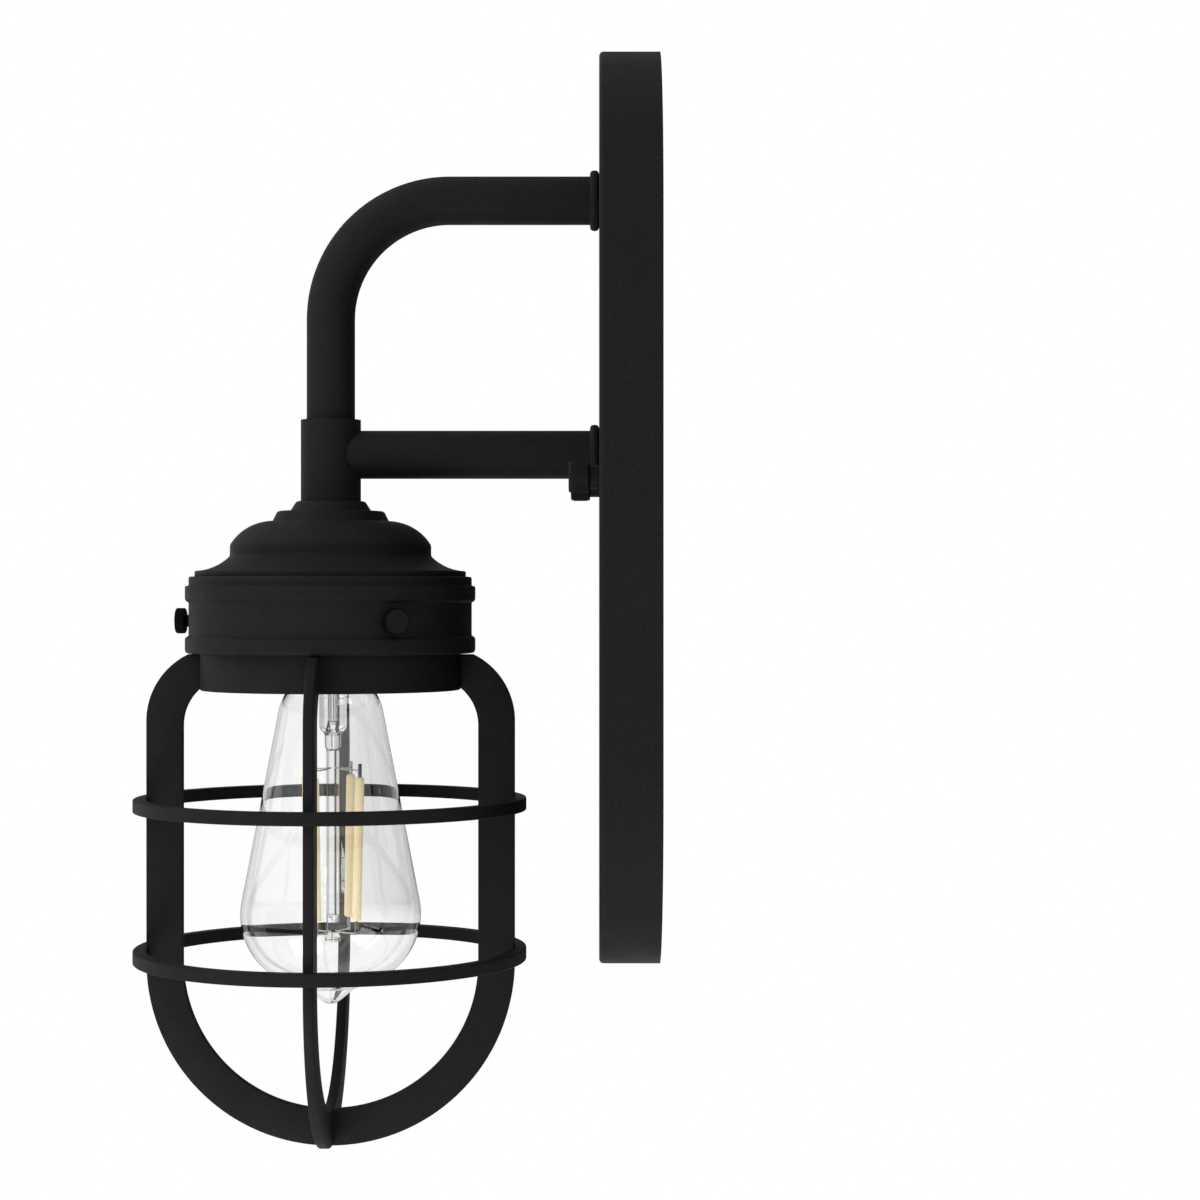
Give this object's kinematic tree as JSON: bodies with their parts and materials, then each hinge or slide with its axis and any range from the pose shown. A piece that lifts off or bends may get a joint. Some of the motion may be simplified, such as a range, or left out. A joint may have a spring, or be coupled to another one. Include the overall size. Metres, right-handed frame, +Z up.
{
  "type": "wall sconce",
  "caption": "Caged wall sconce: stadium pan backplate, bent and straight tube arms meeting in a tee, stepped canopy cap, thumb-screwed flat-bar cage and clear tapered filament lamp.",
  "frame": {"origin": "middle of the two mounting studs, on the wall plane that the backplate's rim rests on", "axes": "+Z up, +Y into the wall, -Y out into the room, X sideways; the lamp's axis is parallel to Z"},
  "size_m": [0.1398, 0.1873, 0.3895],
  "materials": {
    "powder_coat": "matte black powder coat",
    "black_screws": "matte black",
    "zinc_steel": "bright zinc",
    "brass": "plain",
    "porcelain": "glazed porcelain",
    "clear_glass": "clear",
    "stem_glass": "clear",
    "lamp_cap": "bright nickel",
    "black_glass": "black vitreous insulator",
    "filament": "yellow phosphor coating",
    "wire_metal": "plain wire",
    "driver_board": "circuit board",
    "black_insulation": "wire insulation",
    "white_insulation": "wire insulation",
    "green_insulation": "wire insulation",
    "green_screw": "green",
    "connector_plastic": "moulded"
  },
  "bodies": {
    "fixture": {"backplate": "powder_coat", "mounting_strap": "zinc_steel", "mounting_studs": "zinc_steel", "stud_nuts": "zinc_steel", "ground_screw": "green_screw", "upper_arm": "powder_coat", "lower_arm": "powder_coat", "tee_sleeve": "powder_coat", "upper_arm_collar": "powder_coat", "lower_arm_collar": "powder_coat", "arm_nipples": "zinc_steel", "arm_washers": "zinc_steel", "arm_nuts": "zinc_steel", "stem_bush": "zinc_steel", "head_nipple": "zinc_steel", "head_nut": "zinc_steel", "canopy_cap": "powder_coat", "socket_bracket": "zinc_steel", "cage_holder": "powder_coat", "holder_screws": "zinc_steel", "socket_body": "porcelain", "socket_shell": "brass", "socket_contact": "brass", "socket_screws": "zinc_steel", "live_lead": "black_insulation", "neutral_lead": "white_insulation", "ground_lead": "green_insulation", "wire_connectors": "connector_plastic"},
    "cap_nut_left": {"cap_nut_left": "black_screws"},
    "cap_nut_right": {"cap_nut_right": "black_screws"},
    "thumb_screw_front": {"thumb_screw_front": "black_screws"},
    "thumb_screw_left": {"thumb_screw_left": "black_screws"},
    "thumb_screw_right": {"thumb_screw_right": "black_screws"},
    "cage": {"cage_collar": "powder_coat", "cage_hoop_side": "powder_coat", "cage_hoop_front": "powder_coat", "cage_ring_upper": "powder_coat", "cage_ring_lower": "powder_coat"},
    "lamp_tip": {"lamp_contact": "lamp_cap"},
    "lamp": {"lamp_insulator": "black_glass", "lamp_shell": "lamp_cap", "lamp_glass": "clear_glass", "lamp_stem": "stem_glass", "lamp_wires": "wire_metal", "lamp_filaments": "filament", "lamp_driver": "driver_board"}
  },
  "joints": [
    {"name": "cage_drop", "type": "slide", "parent": "fixture", "child": "cage", "axis": [0, 0, -1], "range_m": [0, 0.16]},
    {"name": "thumb_front_out", "type": "slide", "parent": "fixture", "child": "thumb_screw_front", "axis": [0, -1, 0], "range_m": [0, 0.004]},
    {"name": "thumb_left_out", "type": "slide", "parent": "fixture", "child": "thumb_screw_left", "axis": [-0.866, 0.5, 0], "range_m": [0, 0.004]},
    {"name": "thumb_right_out", "type": "slide", "parent": "fixture", "child": "thumb_screw_right", "axis": [0.866, 0.5, 0], "range_m": [0, 0.004]},
    {"name": "cap_nut_left_off", "type": "slide", "parent": "fixture", "child": "cap_nut_left", "axis": [0, -1, 0], "range_m": [0, 0.012]},
    {"name": "cap_nut_right_off", "type": "slide", "parent": "fixture", "child": "cap_nut_right", "axis": [0, -1, 0], "range_m": [0, 0.012]},
    {"name": "lamp_lower", "type": "slide", "parent": "fixture", "child": "lamp_tip", "axis": [0, 0, -1], "range_m": [0, 0.0182]},
    {"name": "lamp_unscrew", "type": "hinge", "parent": "lamp_tip", "child": "lamp", "pos_m": [0, -0.1174, -0.0714], "axis": [0, 0, -1], "range_deg": [0, 1800]}
  ],
  "couplings": [
    {"joint": "lamp_lower", "follows": "lamp_unscrew", "m_per_rad": 0.00057756}
  ]
}
